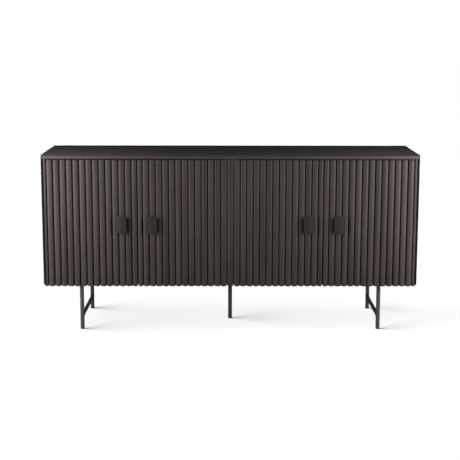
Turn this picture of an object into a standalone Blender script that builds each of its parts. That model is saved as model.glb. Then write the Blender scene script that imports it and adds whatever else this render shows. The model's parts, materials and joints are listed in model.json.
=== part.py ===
"""A long four-door sideboard with reeded doors on a light metal base.

The carcass is a top, two bevelled side panels, a bottom, a back and a centre partition.
Each half is closed by a pair of doors that turn on pivot pins near their outer edges.
The base is five steel tubes: two braced pairs near the ends and a single leg in the middle.

Frame: metres, +Z up, +X to the right, and the doors face -Y.
The origin is on the floor, in the middle of the whole object's box.
"""

import math

import bmesh
import bpy

# ---------------------------------------------------------------- overall size
WIDTH = 1.83
HEIGHT = 0.86
BODY_DEPTH = 0.51
LEG_HEIGHT = 0.223

# ---------------------------------------------------------------- fits between pieces
SEAT_GAP = 0.0003
PIN_GAP = 0.0003
DOOR_SIDE_GAP = 0.002
DOOR_MEETING_GAP = 0.003
DOOR_TOP_GAP = 0.0035
SWING_GAP = 0.0017

# ---------------------------------------------------------------- carcass boards
TOP_THICKNESS = 0.016
SIDE_THICKNESS = 0.030
SIDE_BEVEL_WIDTH = 0.020
SIDE_BEVEL_DEPTH = 0.050
BOTTOM_THICKNESS = 0.022
PARTITION_THICKNESS = 0.022
POST_WIDTH = 0.0275
BACK_THICKNESS = 0.008
BACK_INSET = 0.004
SHELF_THICKNESS = 0.018
SHELF_SETBACK = 0.025
SHELF_RISE = 0.280
SHELF_END_GAP = 0.001
CLEAT_HEIGHT = 0.020
CLEAT_DEPTH = 0.014
EDGE_ROUND = 0.0015

# ---------------------------------------------------------------- doors
DOOR_WIDTH_DIFFERENCE = 0.0032
SLAT_PITCH = 0.0313
SLAT_GROOVE = 0.006
SLAT_RELIEF = 0.012
SLAT_WEB = 0.003
SLAT_EDGE_RADIUS = 0.004
SLAT_PROUD = 0.003
SLAT_OVERHANG = 0.003
MEETING_SETBACK = 0.0015
DOOR_BACKING = 0.012

# ---------------------------------------------------------------- pivots
PIVOT_FROM_SIDE = 0.014
PIVOT_FROM_FACE = 0.010
PIN_RADIUS = 0.0025
PIN_IN_DOOR = 0.015
COLLAR_RADIUS = 0.0048
COLLAR_THICKNESS = 0.0014
BUSH_WALL = 0.0013
BUSH_LENGTH = 0.010
BUSH_FLANGE_RADIUS = 0.006
BUSH_FLANGE_THICKNESS = 0.001
BRACKET_THICKNESS = 0.003
BRACKET_ARM_WIDTH = 0.010
BRACKET_PLATE_WIDTH = 0.036
BRACKET_PLATE_DEPTH = 0.045
BRACKET_LIFT = 0.0007
BRACKET_END_GAP = 0.004
NOTCH_WIDTH = 0.020
NOTCH_LIP = 0.0025

# ---------------------------------------------------------------- pulls and catches
HANDLE_WIDTH = 0.044
HANDLE_HEIGHT = 0.082
HANDLE_PLATE = 0.006
HANDLE_NECK_WIDTH = 0.016
HANDLE_NECK_DEPTH = 0.010
HANDLE_HEIGHT_ABOVE_BODY = 0.305
HANDLE_SLAT = 3
CATCH_WIDTH = 0.060
CATCH_HEIGHT = 0.014
CATCH_DEPTH = 0.018
STRIKE_WIDTH = 0.024
STRIKE_HEIGHT = 0.012
STRIKE_THICKNESS = 0.0015
STRIKE_FROM_EDGE = 0.003

# ---------------------------------------------------------------- metal base
LEG_RADIUS = 0.010
LEG_WALL = 0.0015
LEG_FROM_SIDE = 0.187
LEG_FROM_FACE = 0.043
STRETCHER_RADIUS = 0.009
STRETCHER_HEIGHT = 0.064
BAR_WIDTH = 0.040
BAR_THICKNESS = 0.005
BAR_OVERHANG = 0.002
FLANGE_RADIUS = 0.034
FLANGE_THICKNESS = 0.004
GLIDE_HEIGHT = 0.006
GLIDE_PLUG = 0.016
GLIDE_CLEARANCE = 0.0004

# ---------------------------------------------------------------- facets, welds and cutters
PIN_STEPS = 16
TUBE_STEPS = 24
ARC_STEPS = 3
ROUND_END_STEPS = 8
EDGE_STEPS = 2
EDGE_ANGLE = 25
SMOOTH_ANGLE = 35
WELD_DISTANCE = 0.00001
CUTTER_OVERREACH = 4

# ---------------------------------------------------------------- derived sizes and places
HANDLE_DEPTH = HANDLE_PLATE + HANDLE_NECK_DEPTH
FRONT_Y = (SLAT_PROUD + HANDLE_DEPTH - BODY_DEPTH) / 2
BACK_Y = FRONT_Y + BODY_DEPTH
SLAT_FRONT_Y = FRONT_Y - SLAT_PROUD

TOP_UNDERSIDE = HEIGHT - TOP_THICKNESS
INNER_HALF = WIDTH / 2 - SIDE_THICKNESS
BAY_WIDTH = INNER_HALF - POST_WIDTH / 2

FLUTED_THICKNESS = SLAT_RELIEF + SLAT_WEB
DOOR_THICKNESS = FLUTED_THICKNESS + SEAT_GAP + DOOR_BACKING
DOOR_BACK_Y = SLAT_FRONT_Y + DOOR_THICKNESS
DOOR_BOTTOM = LEG_HEIGHT
DOOR_TOP = TOP_UNDERSIDE - DOOR_TOP_GAP
INNER_DOOR_WIDTH = (BAY_WIDTH - 2 * DOOR_SIDE_GAP - DOOR_MEETING_GAP - DOOR_WIDTH_DIFFERENCE) / 2
OUTER_DOOR_WIDTH = INNER_DOOR_WIDTH + DOOR_WIDTH_DIFFERENCE

PIVOT_IN_DOOR = PIVOT_FROM_SIDE - DOOR_SIDE_GAP
PIVOT_Y = SLAT_FRONT_Y + PIVOT_FROM_FACE
BACK_CORNER_SWING = math.hypot(PIVOT_IN_DOOR, DOOR_THICKNESS - PIVOT_FROM_FACE)
INSIDE_FRONT_Y = PIVOT_Y + BACK_CORNER_SWING + SWING_GAP

BRACKET_TOP = LEG_HEIGHT + BRACKET_LIFT + BRACKET_THICKNESS
NOTCH_HEIGHT = BRACKET_LIFT + BRACKET_THICKNESS + COLLAR_THICKNESS + 2 * SEAT_GAP
BOTTOM_UNDERSIDE = BRACKET_TOP + SEAT_GAP
BOTTOM_TOP = BOTTOM_UNDERSIDE + BOTTOM_THICKNESS
BACK_PANEL_FRONT_Y = BACK_Y - BACK_INSET - BACK_THICKNESS
SHELF_UNDERSIDE = BOTTOM_TOP + SHELF_RISE

LEG_X = WIDTH / 2 - LEG_FROM_SIDE
LEG_FRONT_Y = FRONT_Y + LEG_FROM_FACE
LEG_REAR_Y = BACK_Y - LEG_FROM_FACE
LEG_CENTRE_Y = (FRONT_Y + BACK_Y) / 2
BAR_UNDERSIDE = BOTTOM_UNDERSIDE - SEAT_GAP - BAR_THICKNESS

# Each door: its number, the X of the surface that it hangs beside, the side it opens to, its width.
DOORS = (
    (1, -INNER_HALF, 1, OUTER_DOOR_WIDTH),
    (2, -POST_WIDTH / 2, -1, INNER_DOOR_WIDTH),
    (3, POST_WIDTH / 2, 1, INNER_DOOR_WIDTH),
    (4, INNER_HALF, -1, OUTER_DOOR_WIDTH),
)
SEAM_X = INNER_HALF - DOOR_SIDE_GAP - OUTER_DOOR_WIDTH - DOOR_MEETING_GAP / 2


def clear_scene():
    """Empties the file that Blender opens with."""
    for thing in list(bpy.data.objects):
        bpy.data.objects.remove(thing)


def make_collection(name):
    """A new collection in the scene."""
    collection = bpy.data.collections.new(name)
    bpy.context.scene.collection.children.link(collection)
    return collection


def make_material(name, colour, roughness, metallic=0.0):
    """A plain Principled material."""
    material = bpy.data.materials.new(name)
    material.use_nodes = True
    shader = material.node_tree.nodes["Principled BSDF"]
    shader.inputs["Base Color"].default_value = (*colour, 1.0)
    shader.inputs["Roughness"].default_value = roughness
    shader.inputs["Metallic"].default_value = metallic
    material.diffuse_color = (*colour, 1.0)
    return material


def place(name, mesh, material, location=(0, 0, 0), parent=None):
    """Puts a mesh in the sideboard's collection as one named piece."""
    mesh.name = name
    mesh.materials.clear()
    mesh.materials.append(material)
    piece = bpy.data.objects.new(name, mesh)
    piece.location = location
    piece.parent = parent
    PIECES.objects.link(piece)
    return piece


def box_mesh(size):
    """A box of the given size about its own middle."""
    mesh = bpy.data.meshes.new("box")
    shape = bmesh.new()
    bmesh.ops.create_cube(shape, size=1.0)
    bmesh.ops.scale(shape, vec=size, verts=shape.verts)
    shape.to_mesh(mesh)
    shape.free()
    return mesh


def box(name, low, high, material, parent=None):
    """A board or block between two corners."""
    size = [b - a for a, b in zip(low, high)]
    middle = [(a + b) / 2 for a, b in zip(low, high)]
    return place(name, box_mesh(size), material, middle, parent)


def shade_round(mesh):
    """Shades a mesh smooth across its shallow edges and leaves its corners sharp."""
    mesh.shade_smooth()
    mesh.set_sharp_from_angle(angle=math.radians(SMOOTH_ANGLE))
    return mesh


def rod_mesh(radius, length, steps):
    """A round rod along Z about its own middle."""
    mesh = bpy.data.meshes.new("rod")
    shape = bmesh.new()
    bmesh.ops.create_cone(shape, cap_ends=True, segments=steps, radius1=radius, radius2=radius, depth=length)
    shape.to_mesh(mesh)
    shape.free()
    return shade_round(mesh)


def prism_mesh(outline, thickness):
    """A flat outline in X and Y, given a thickness along Z about its own middle, with one face each end."""
    curve = bpy.data.curves.new("outline", "CURVE")
    curve.dimensions = "2D"
    curve.fill_mode = "BOTH"
    curve.extrude = thickness / 2
    spline = curve.splines.new("POLY")
    spline.points.add(len(outline) - 1)
    for point, (x, y) in zip(spline.points, outline):
        point.co = (x, y, 0.0, 1.0)
    spline.use_cyclic_u = True
    drawn = bpy.data.objects.new("outline", curve)
    bpy.context.scene.collection.objects.link(drawn)
    seen = drawn.evaluated_get(bpy.context.evaluated_depsgraph_get())
    mesh = bpy.data.meshes.new_from_object(seen)
    bpy.data.objects.remove(drawn)
    bpy.data.curves.remove(curve)
    shape = bmesh.new()
    shape.from_mesh(mesh)
    bmesh.ops.remove_doubles(shape, verts=shape.verts, dist=WELD_DISTANCE)
    for end in (-1, 1):
        cap = [face for face in shape.faces if all(vert.co.z * end > 0 for vert in face.verts)]
        bmesh.ops.dissolve_faces(shape, faces=cap)
    bmesh.ops.recalc_face_normals(shape, faces=shape.faces)
    shape.to_mesh(mesh)
    shape.free()
    return shade_round(mesh)


def prism(name, outline, low_z, high_z, material, parent=None):
    """A flat outline raised from one height to another."""
    mesh = prism_mesh(outline, high_z - low_z)
    return place(name, mesh, material, (0, 0, (low_z + high_z) / 2), parent)


def turned_mesh(profile, closed, steps):
    """A profile of (radius, height) points turned about Z, listed from its top down its outside."""
    shape = bmesh.new()
    points = [shape.verts.new((radius, 0.0, height)) for radius, height in profile]
    ends = points[1:] + points[:1] if closed else points[1:]
    edges = [shape.edges.new(pair) for pair in zip(points, ends)]
    bmesh.ops.spin(
        shape,
        geom=points + edges,
        cent=(0, 0, 0),
        axis=(0, 0, 1),
        angle=math.tau,
        steps=steps,
        use_merge=True,
    )
    bmesh.ops.remove_doubles(shape, verts=shape.verts, dist=WELD_DISTANCE)
    bmesh.ops.recalc_face_normals(shape, faces=shape.faces)
    mesh = bpy.data.meshes.new("turned")
    shape.to_mesh(mesh)
    shape.free()
    return shade_round(mesh)


def turned(name, profile, closed, steps, material, location, parent=None):
    """A round piece about an upright axis at a place."""
    return place(name, turned_mesh(profile, closed, steps), material, location, parent)


def round_edges(piece, width):
    """Takes the sharpness off a piece's corners."""
    bevel = piece.modifiers.new("edges", "BEVEL")
    bevel.width = width
    bevel.segments = EDGE_STEPS
    bevel.limit_method = "ANGLE"
    bevel.angle_limit = math.radians(EDGE_ANGLE)


def cut(piece, name, mesh, location, parent=None):
    """Cuts a mesh's shape out of a piece."""
    cutter = bpy.data.objects.new(name, mesh)
    cutter.location = location
    cutter.parent = parent
    cutter.hide_render = True
    cutter.display_type = "WIRE"
    CUTTERS.objects.link(cutter)
    boolean = piece.modifiers.new(name, "BOOLEAN")
    boolean.operation = "DIFFERENCE"
    boolean.solver = "EXACT"
    boolean.object = cutter


def arc(centre_x, centre_y, radius, start, end, steps):
    """Points along an arc, with its angles in degrees."""
    points = []
    for i in range(steps + 1):
        angle = math.radians(start + (end - start) * i / steps)
        points.append((centre_x + radius * math.cos(angle), centre_y + radius * math.sin(angle)))
    return points


# ---------------------------------------------------------------- carcass
def bevelled_corner(side):
    """The plan of the body's front corner on one side, from the front face to the side face."""
    return [
        (side * (WIDTH / 2 - SIDE_BEVEL_WIDTH), FRONT_Y),
        (side * WIDTH / 2, FRONT_Y + SIDE_BEVEL_DEPTH),
    ]


def make_top(board):
    """The top, which spans the whole body and follows its bevelled corners."""
    left = bevelled_corner(-1)
    right = bevelled_corner(1)
    outline = left[::-1] + right + [(WIDTH / 2, BACK_Y), (-WIDTH / 2, BACK_Y)]
    top = prism("top_panel", outline, TOP_UNDERSIDE, HEIGHT, board)
    round_edges(top, EDGE_ROUND)
    for number, beside_x, opens, _ in DOORS:
        reach = BUSH_LENGTH + SEAT_GAP
        hole = rod_mesh(PIN_RADIUS + PIN_GAP + BUSH_WALL + SEAT_GAP, 2 * reach, PIN_STEPS)
        cut(top, f"bush_hole_{number}", hole, (beside_x + opens * PIVOT_FROM_SIDE, PIVOT_Y, TOP_UNDERSIDE))


def make_sides(board):
    """The two side panels, thinned towards the front by a long bevel on their outer side."""
    for name, side in (("left", -1), ("right", 1)):
        outline = [
            (side * INNER_HALF, BACK_Y),
            (side * INNER_HALF, FRONT_Y),
            *bevelled_corner(side),
            (side * WIDTH / 2, BACK_Y),
        ]
        prism(f"side_panel_{name}", outline, LEG_HEIGHT, TOP_UNDERSIDE - SEAT_GAP, board)


def make_inner_boards(board, lining):
    """The bottom, the partition, the back and the two shelves on their cleats."""
    half = INNER_HALF - SEAT_GAP
    behind_y = BACK_PANEL_FRONT_Y - SEAT_GAP
    under_top = TOP_UNDERSIDE - SEAT_GAP
    box("bottom_panel", (-half, INSIDE_FRONT_Y, BOTTOM_UNDERSIDE), (half, behind_y, BOTTOM_TOP), board)
    box(
        "back_panel",
        (-half, BACK_PANEL_FRONT_Y, BOTTOM_UNDERSIDE),
        (half, BACK_PANEL_FRONT_Y + BACK_THICKNESS, under_top),
        lining,
    )
    half_partition = PARTITION_THICKNESS / 2
    box(
        "centre_partition",
        (-half_partition, DOOR_BACK_Y + SEAT_GAP, BOTTOM_TOP + SEAT_GAP),
        (half_partition, behind_y, under_top),
        board,
    )
    for name, side in (("left", -1), ("right", 1)):
        near = half_partition + SHELF_END_GAP
        far = INNER_HALF - SHELF_END_GAP
        ends = sorted((side * near, side * far))
        box(
            f"shelf_{name}",
            (ends[0], INSIDE_FRONT_Y + SHELF_SETBACK, SHELF_UNDERSIDE),
            (ends[1], behind_y, SHELF_UNDERSIDE + SHELF_THICKNESS),
            lining,
        )
        for place_name, wall_x, inwards in (
            ("inner", side * half_partition, side),
            ("outer", side * INNER_HALF, -side),
        ):
            faces = sorted((wall_x + inwards * SEAT_GAP, wall_x + inwards * (SEAT_GAP + CLEAT_DEPTH)))
            box(
                f"shelf_cleat_{name}_{place_name}",
                (faces[0], INSIDE_FRONT_Y + 2 * SHELF_SETBACK, SHELF_UNDERSIDE - SEAT_GAP - CLEAT_HEIGHT),
                (faces[1], behind_y - SHELF_SETBACK, SHELF_UNDERSIDE - SEAT_GAP),
                board,
            )


def make_post(board):
    """The fixed slat on the partition's edge, which looks like one more slat between the doors."""
    half = POST_WIDTH / 2
    radius = SLAT_EDGE_RADIUS
    front = SLAT_FRONT_Y
    outline = [
        (-half, DOOR_BACK_Y),
        *arc(-half + radius, front + radius, radius, 180, 270, ARC_STEPS),
        *arc(half - radius, front + radius, radius, 270, 360, ARC_STEPS),
        (half, DOOR_BACK_Y),
    ]
    prism("centre_post", outline, DOOR_BOTTOM, TOP_UNDERSIDE - SEAT_GAP, board)


# ---------------------------------------------------------------- doors
def slat_edges(width):
    """Where each slat of a door starts and ends, measured from the door's hinged edge."""
    full = max(1, round(width / SLAT_PITCH)) - 1
    half_groove = SLAT_GROOVE / 2
    edges = [(i * SLAT_PITCH + half_groove, (i + 1) * SLAT_PITCH - half_groove) for i in range(full)]
    edges.append((full * SLAT_PITCH + half_groove, width - MEETING_SETBACK))
    return edges


def fluted_outline(width, opens):
    """The plan of a fluted board: slats on a thin web, measured from the door's pivot."""
    start = -PIVOT_IN_DOOR
    front = -PIVOT_FROM_FACE
    web = front + SLAT_RELIEF
    radius = SLAT_EDGE_RADIUS
    points = [(start, front + FLUTED_THICKNESS), (start, web)]
    for near, far in slat_edges(width):
        low = start + near
        high = start + far
        points.append((low, web))
        points += arc(low + radius, front + radius, radius, 180, 270, ARC_STEPS)
        points += arc(high - radius, front + radius, radius, 270, 360, ARC_STEPS)
        points.append((high, web))
    points += [(start + width, web), (start + width, front + FLUTED_THICKNESS)]
    return [(opens * x, y) for x, y in points]


def cut_notch(piece, opens, axis):
    """Clears the door's lower corner for the bracket arm that carries it."""
    outside = -2 * PIVOT_IN_DOOR
    inside = NOTCH_WIDTH - PIVOT_IN_DOOR
    size = (inside - outside, DOOR_THICKNESS, 2 * NOTCH_HEIGHT)
    centre_x = opens * (inside + outside) / 2
    centre_y = -PIVOT_FROM_FACE + NOTCH_LIP + DOOR_THICKNESS / 2
    cut(piece, f"{piece.name}_notch", box_mesh(size), (centre_x, centre_y, 0), parent=axis)


def cut_overhang(slats, width, opens, axis):
    """Takes the web back from the slats' lower ends, so that these hang a little below it."""
    web = SLAT_RELIEF - PIVOT_FROM_FACE
    size = (2 * width, 2 * SLAT_WEB, 2 * SLAT_OVERHANG)
    centre_x = opens * (width / 2 - PIVOT_IN_DOOR)
    centre_y = web - SEAT_GAP + SLAT_WEB
    cut(slats, f"{slats.name}_overhang", box_mesh(size), (centre_x, centre_y, 0), parent=axis)


def make_handle(number, x, iron, axis):
    """A cast pull: an upright plate on a narrower neck, so that fingers reach behind its edges."""
    face = -PIVOT_FROM_FACE - SEAT_GAP
    plate_back = face - HANDLE_NECK_DEPTH + SEAT_GAP
    plate_front = plate_back - HANDLE_PLATE
    half = HANDLE_WIDTH / 2
    neck = HANDLE_NECK_WIDTH / 2
    outline = [
        (x - neck, face),
        (x - neck, plate_back),
        (x - half, plate_back),
        (x - half, plate_front),
        (x + half, plate_front),
        (x + half, plate_back),
        (x + neck, plate_back),
        (x + neck, face),
    ]
    middle = HANDLE_HEIGHT_ABOVE_BODY
    low = middle - HANDLE_HEIGHT / 2
    prism(f"handle_{number}", outline, low, low + HANDLE_HEIGHT, iron, axis)


def make_door(number, beside_x, opens, width, finishes):
    """One door about its pivot axis: fluted board, backing, pull, pins and strike plate."""
    axis = bpy.data.objects.new(f"door_{number}_axis", None)
    axis.location = (beside_x + opens * PIVOT_FROM_SIDE, PIVOT_Y, DOOR_BOTTOM)
    PIECES.objects.link(axis)
    height = DOOR_TOP - DOOR_BOTTOM
    start = -PIVOT_IN_DOOR

    slats = prism(f"door_slats_{number}", fluted_outline(width, opens), 0, height, finishes["slats"], axis)
    backing_front = -PIVOT_FROM_FACE + FLUTED_THICKNESS + SEAT_GAP
    ends = sorted((opens * start, opens * (start + width)))
    backing = box(
        f"door_panel_{number}",
        (ends[0], backing_front, SLAT_OVERHANG),
        (ends[1], backing_front + DOOR_BACKING, height),
        finishes["board"],
        axis,
    )
    cut_overhang(slats, width, opens, axis)
    cut_notch(slats, opens, axis)
    cut_notch(backing, opens, axis)
    for end, end_z in (("bottom", 0), ("top", height)):
        notch = NOTCH_HEIGHT if end == "bottom" else 0
        socket_reach = notch + PIN_IN_DOOR + SEAT_GAP
        socket = rod_mesh(PIN_RADIUS + PIN_GAP, 2 * socket_reach, PIN_STEPS)
        cut(slats, f"door_slats_{number}_{end}_socket", socket, (0, 0, end_z), parent=axis)

    near_slat = slat_edges(width)[-HANDLE_SLAT]
    handle_x = opens * (start + (near_slat[0] + near_slat[1]) / 2)
    make_handle(number, handle_x, finishes["iron"], axis)

    pin_top = TOP_UNDERSIDE - DOOR_BOTTOM + BUSH_LENGTH - SEAT_GAP
    pin_low = height - PIN_IN_DOOR
    upper = [(0, pin_top), (PIN_RADIUS, pin_top), (PIN_RADIUS, pin_low), (0, pin_low)]
    turned(f"pivot_pin_top_{number}", upper, False, PIN_STEPS, finishes["steel"], (0, 0, 0), axis)
    collar_low = BRACKET_LIFT + BRACKET_THICKNESS + SEAT_GAP
    collar_high = collar_low + COLLAR_THICKNESS
    lower = [
        (0, NOTCH_HEIGHT + PIN_IN_DOOR),
        (PIN_RADIUS, NOTCH_HEIGHT + PIN_IN_DOOR),
        (PIN_RADIUS, collar_high),
        (COLLAR_RADIUS, collar_high),
        (COLLAR_RADIUS, collar_low),
        (PIN_RADIUS, collar_low),
        (PIN_RADIUS, BRACKET_LIFT),
        (0, BRACKET_LIFT),
    ]
    turned(f"pivot_pin_bottom_{number}", lower, False, PIN_STEPS, finishes["steel"], (0, 0, 0), axis)

    strike_far = start + width - STRIKE_FROM_EDGE
    strike_ends = sorted((opens * (strike_far - STRIKE_WIDTH), opens * strike_far))
    strike_y = DOOR_THICKNESS - PIVOT_FROM_FACE + SEAT_GAP
    strike_top = height - (CATCH_HEIGHT - STRIKE_HEIGHT) / 2
    box(
        f"strike_plate_{number}",
        (strike_ends[0], strike_y, strike_top - STRIKE_HEIGHT),
        (strike_ends[1], strike_y + STRIKE_THICKNESS, strike_top),
        finishes["steel"],
        axis,
    )


# ---------------------------------------------------------------- hardware on the carcass
def bracket_outline(arm_places, low_x, high_x):
    """The plan of a pivot bracket: a plate with a round-ended arm reaching forward to each pivot."""
    half = BRACKET_ARM_WIDTH / 2
    plate_front = INSIDE_FRONT_Y
    points = [(low_x, plate_front + BRACKET_PLATE_DEPTH), (low_x, plate_front)]
    for arm_x in arm_places:
        points.append((arm_x - half, plate_front))
        points += arc(arm_x, PIVOT_Y, half, 180, 360, ROUND_END_STEPS)
        points.append((arm_x + half, plate_front))
    points += [(high_x, plate_front), (high_x, plate_front + BRACKET_PLATE_DEPTH)]
    return points


def make_pivot_hardware(steel, nylon):
    """The brackets under the bottom panel and the flanged bushes in the top."""
    low = LEG_HEIGHT + BRACKET_LIFT
    end_arm = INNER_HALF - PIVOT_FROM_SIDE
    centre_arm = POST_WIDTH / 2 + PIVOT_FROM_SIDE
    plate_end = INNER_HALF - BRACKET_END_GAP
    half_centre = centre_arm + BRACKET_ARM_WIDTH
    brackets = (
        ("left", [-end_arm], -plate_end, -plate_end + BRACKET_PLATE_WIDTH),
        ("centre", [-centre_arm, centre_arm], -half_centre, half_centre),
        ("right", [end_arm], plate_end - BRACKET_PLATE_WIDTH, plate_end),
    )
    for name, arms, low_x, high_x in brackets:
        outline = bracket_outline(arms, low_x, high_x)
        bracket = prism(f"pivot_bracket_{name}", outline, low, BRACKET_TOP, steel)
        for i, arm_x in enumerate(arms):
            hole = rod_mesh(PIN_RADIUS + PIN_GAP, CUTTER_OVERREACH * BRACKET_THICKNESS, PIN_STEPS)
            cut(bracket, f"pivot_hole_{name}_{i}", hole, (arm_x, PIVOT_Y, low))

    inner = PIN_RADIUS + PIN_GAP
    outer = inner + BUSH_WALL
    seat = -SEAT_GAP
    foot = seat - BUSH_FLANGE_THICKNESS
    profile = [
        (outer, BUSH_LENGTH),
        (outer, seat),
        (BUSH_FLANGE_RADIUS, seat),
        (BUSH_FLANGE_RADIUS, foot),
        (inner, foot),
        (inner, BUSH_LENGTH),
    ]
    for number, beside_x, opens, _ in DOORS:
        centre = (beside_x + opens * PIVOT_FROM_SIDE, PIVOT_Y, TOP_UNDERSIDE)
        turned(f"pivot_bush_{number}", profile, True, PIN_STEPS, nylon, centre)


def make_catches(nylon):
    """A double magnetic catch under the top, behind the seam of each pair of doors."""
    front = DOOR_BACK_Y + SEAT_GAP + STRIKE_THICKNESS + SEAT_GAP
    top = TOP_UNDERSIDE - SEAT_GAP
    for name, side in (("left", -1), ("right", 1)):
        centre = side * SEAM_X
        low = (centre - CATCH_WIDTH / 2, front, top - DOOR_TOP_GAP - CATCH_HEIGHT)
        high = (centre + CATCH_WIDTH / 2, front + CATCH_DEPTH, top)
        box(f"magnetic_catch_{name}", low, high, nylon)


# ---------------------------------------------------------------- base
def tube_profile(low, high):
    """The wall of an open tube."""
    inner = LEG_RADIUS - LEG_WALL
    return [(LEG_RADIUS, high), (LEG_RADIUS, low), (inner, low), (inner, high)]


def make_leg_pair(name, side, metal):
    """A front and a rear leg under a mounting bar, braced by a low stretcher."""
    x = side * LEG_X
    for end, y in (("front", LEG_FRONT_Y), ("rear", LEG_REAR_Y)):
        wall = tube_profile(GLIDE_HEIGHT, BAR_UNDERSIDE - SEAT_GAP)
        turned(f"leg_{end}_{name}", wall, True, TUBE_STEPS, metal, (x, y, 0))
    reach = LEG_RADIUS + BAR_OVERHANG
    box(
        f"mounting_bar_{name}",
        (x - BAR_WIDTH / 2, LEG_FRONT_Y - reach, BAR_UNDERSIDE),
        (x + BAR_WIDTH / 2, LEG_REAR_Y + reach, BAR_UNDERSIDE + BAR_THICKNESS),
        metal,
    )
    length = LEG_REAR_Y - LEG_FRONT_Y
    rod = place(
        f"stretcher_{name}",
        rod_mesh(STRETCHER_RADIUS, length, TUBE_STEPS),
        metal,
        (x, (LEG_FRONT_Y + LEG_REAR_Y) / 2, STRETCHER_HEIGHT),
    )
    rod.rotation_euler = (math.pi / 2, 0, 0)
    for end, y in (("front", LEG_FRONT_Y), ("rear", LEG_REAR_Y)):
        saddle = rod_mesh(LEG_RADIUS + SEAT_GAP, CUTTER_OVERREACH * STRETCHER_RADIUS, TUBE_STEPS)
        cut(rod, f"stretcher_{name}_{end}_saddle", saddle, (x, y, STRETCHER_HEIGHT))


def make_centre_leg(metal):
    """The single middle leg, with a round flange that is screwed to the bottom panel."""
    flange_top = BOTTOM_UNDERSIDE - SEAT_GAP
    flange_low = flange_top - FLANGE_THICKNESS
    inner = LEG_RADIUS - LEG_WALL
    profile = [
        (0, flange_top),
        (FLANGE_RADIUS, flange_top),
        (FLANGE_RADIUS, flange_low),
        (LEG_RADIUS, flange_low),
        (LEG_RADIUS, GLIDE_HEIGHT),
        (inner, GLIDE_HEIGHT),
        (inner, flange_low),
        (0, flange_low),
    ]
    turned("leg_centre", profile, False, TUBE_STEPS, metal, (0, LEG_CENTRE_Y, 0))


def make_glides(nylon):
    """A foot for each leg: a plug inside the tube on a disc of the tube's own diameter."""
    plug = LEG_RADIUS - LEG_WALL - GLIDE_CLEARANCE
    disc_top = GLIDE_HEIGHT - SEAT_GAP
    profile = [
        (0, disc_top + GLIDE_PLUG),
        (plug, disc_top + GLIDE_PLUG),
        (plug, disc_top),
        (LEG_RADIUS, disc_top),
        (LEG_RADIUS, 0),
        (0, 0),
    ]
    feet = (
        ("front_left", -LEG_X, LEG_FRONT_Y),
        ("rear_left", -LEG_X, LEG_REAR_Y),
        ("centre", 0, LEG_CENTRE_Y),
        ("front_right", LEG_X, LEG_FRONT_Y),
        ("rear_right", LEG_X, LEG_REAR_Y),
    )
    for name, x, y in feet:
        turned(f"glide_{name}", profile, False, TUBE_STEPS, nylon, (x, y, 0))


clear_scene()
PIECES = make_collection("reeded_sideboard")
CUTTERS = make_collection("cutters")

TOP_WOOD = make_material("black_top", (0.018, 0.017, 0.018), 0.42)
BODY_WOOD = make_material("espresso_wood", (0.045, 0.036, 0.031), 0.48)
LINING = make_material("lining_board", (0.060, 0.050, 0.044), 0.60)
BASE_METAL = make_material("bronzed_steel", (0.085, 0.070, 0.062), 0.45, 0.85)
IRON = make_material("hammered_iron", (0.035, 0.032, 0.030), 0.55, 0.80)
STEEL = make_material("zinc_steel", (0.50, 0.50, 0.50), 0.35, 1.0)
NYLON = make_material("black_nylon", (0.012, 0.012, 0.012), 0.55)

make_top(TOP_WOOD)
make_sides(BODY_WOOD)
make_inner_boards(BODY_WOOD, LINING)
make_post(BODY_WOOD)
FINISHES = {"slats": BODY_WOOD, "board": BODY_WOOD, "iron": IRON, "steel": STEEL}
for door_number, door_beside, door_opens, door_width in DOORS:
    make_door(door_number, door_beside, door_opens, door_width, FINISHES)
make_pivot_hardware(STEEL, NYLON)
make_catches(NYLON)
make_leg_pair("left", -1, BASE_METAL)
make_leg_pair("right", 1, BASE_METAL)
make_centre_leg(BASE_METAL)
make_glides(NYLON)
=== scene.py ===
"""The looks of a long reeded sideboard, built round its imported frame.

Every board, slat, pull, tube and screw here stands where the frame says, in metres, with +Z up and the doors
facing -Y. The boards are softened, the door fronts get crowned slats with rounded ends, and the pulls are
rough castings. All materials are procedural. A pale floor, soft lights and a camera make the studio.
"""

import json
import math

import bmesh
import bpy
from mathutils import Euler, Matrix, Vector, noise


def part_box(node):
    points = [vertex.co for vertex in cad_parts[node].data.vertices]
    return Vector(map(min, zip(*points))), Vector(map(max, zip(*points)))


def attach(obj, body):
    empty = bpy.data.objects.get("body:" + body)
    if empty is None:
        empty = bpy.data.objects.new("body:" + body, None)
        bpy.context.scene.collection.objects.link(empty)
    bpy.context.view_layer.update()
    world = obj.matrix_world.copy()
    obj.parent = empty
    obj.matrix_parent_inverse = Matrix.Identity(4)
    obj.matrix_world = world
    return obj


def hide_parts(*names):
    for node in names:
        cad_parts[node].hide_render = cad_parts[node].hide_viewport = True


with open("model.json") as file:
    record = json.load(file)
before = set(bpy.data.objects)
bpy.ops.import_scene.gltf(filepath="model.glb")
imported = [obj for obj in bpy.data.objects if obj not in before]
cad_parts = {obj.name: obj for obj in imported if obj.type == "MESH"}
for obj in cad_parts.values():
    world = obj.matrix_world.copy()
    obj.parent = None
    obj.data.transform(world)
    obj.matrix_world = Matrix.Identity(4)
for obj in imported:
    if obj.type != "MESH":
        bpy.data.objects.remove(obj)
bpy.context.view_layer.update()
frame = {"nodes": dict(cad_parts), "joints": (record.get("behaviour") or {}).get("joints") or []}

# ---------------------------------------------------------------- camera
CAMERA_PLACE = (-0.0202, -5.6751, 1.4471)
CAMERA_TILT = 80.12
CAMERA_TURN = -0.196
CAMERA_ROLL = 0.08
CAMERA_LENS = 89.33
SENSOR_WIDTH = 36.0

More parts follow.
